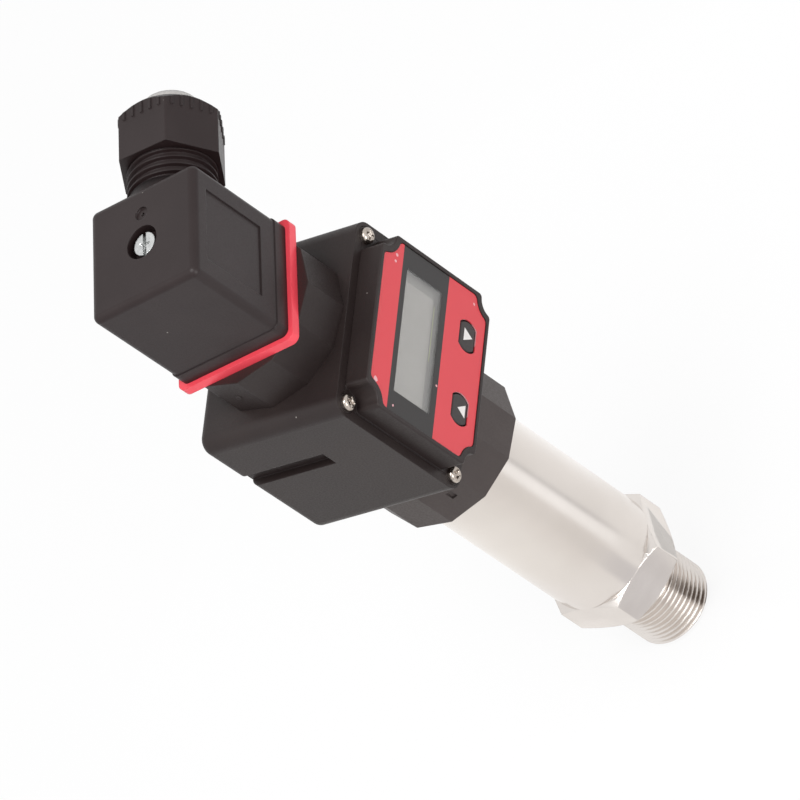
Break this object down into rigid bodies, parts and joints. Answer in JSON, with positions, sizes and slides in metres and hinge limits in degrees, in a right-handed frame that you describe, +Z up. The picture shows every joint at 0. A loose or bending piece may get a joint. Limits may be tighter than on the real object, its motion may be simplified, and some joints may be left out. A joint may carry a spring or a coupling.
{
  "type": "pressure transmitter",
  "caption": "Stainless pressure transmitter with a threaded fitting, a black display head with push buttons, and a square plug-in connector with a cable gland.",
  "frame": {"origin": "on the axis, in the sealing face under the fitting's hexagon", "axes": "+Z up along the axis to the connector, display faces -Y, +X to the display's right; the gland points to +X turned 9.75 degrees"},
  "size_m": [0.062, 0.0428, 0.1818],
  "materials": {
    "stainless_steel": "fine turned satin",
    "black_rubber": "matt",
    "gold_contact": "gilt",
    "circuit_board": "solder mask",
    "black_plastic": "fine moulded grain",
    "inner_plastic": "plain",
    "chrome_screw": "polished",
    "label_film": "printed film, red with a black band",
    "clear_window": "clear film",
    "lcd_glass": "grey display",
    "button_plastic": "fine grain, white arrows",
    "red_rubber": "silicone",
    "connector_plastic": "glass-filled, slightly shiny",
    "brass_insert": "plain",
    "plated_contact": "tin plate",
    "insert_plastic": "plain",
    "zinc_screw": "bright zinc",
    "dust_plug": "light grey moulding",
    "wire_cover": "plain"
  },
  "bodies": {
    "transmitter": {"process_fitting": "stainless_steel", "body_tube": "stainless_steel", "sensor_o_ring": "black_rubber", "sensor_capsule": "stainless_steel", "sensor_retaining_ring": "stainless_steel", "sensor_pins": "gold_contact", "amplifier_board": "circuit_board", "lower_collar": "black_plastic", "tube_seal_ring": "black_rubber", "lower_lock_nut": "inner_plastic", "upper_collar": "black_plastic", "upper_lock_nut": "inner_plastic", "display_housing": "black_plastic", "display_cover": "black_plastic", "cover_seal": "black_rubber", "cover_screws": "chrome_screw", "front_label": "label_film", "display_window": "clear_window", "lcd_module": "lcd_glass", "display_board": "circuit_board", "tact_switches": "inner_plastic", "flange_gasket": "red_rubber", "socket_base": "connector_plastic", "socket_insert_nut": "brass_insert", "socket_blades": "plated_contact", "earth_blade": "plated_contact", "plug_insert": "insert_plastic", "plug_contacts": "plated_contact", "terminal_screws": "zinc_screw", "plug_housing": "connector_plastic", "plug_screw": "zinc_screw", "gland_seal": "black_rubber", "lower_wires": "wire_cover", "upper_wires": "wire_cover"},
    "button_up_cap": {"button_up": "button_plastic", "switch_plunger_up": "inner_plastic"},
    "button_down_cap": {"button_down": "button_plastic", "switch_plunger_down": "inner_plastic"},
    "gland_slip": {"gland_washer": "zinc_screw", "gland_dust_plug": "dust_plug"},
    "gland_ring": {"gland_nut": "connector_plastic"}
  },
  "joints": [
    {"name": "button_up_press", "type": "slide", "parent": "transmitter", "child": "button_up_cap", "axis": [0, 1, 0], "range_m": [0, 0.0005], "stiffness_N_per_m": 2000, "springref_m": -0.0003},
    {"name": "button_down_press", "type": "slide", "parent": "transmitter", "child": "button_down_cap", "axis": [0, 1, 0], "range_m": [0, 0.0005], "stiffness_N_per_m": 2000, "springref_m": -0.0003},
    {"name": "gland_slip_out", "type": "slide", "parent": "transmitter", "child": "gland_slip", "axis": [0.9856, 0.1693, 0], "range_m": [0, 0.0028]},
    {"name": "gland_nut_turn", "type": "hinge", "parent": "gland_slip", "child": "gland_ring", "pos_m": [0.02858, 0.00491, 0.15305], "axis": [0.9856, 0.1693, 0], "range_deg": [0, 720]}
  ],
  "couplings": [
    {"joint": "gland_nut_turn", "follows": "gland_slip_out", "rad_per_m": 4488}
  ]
}
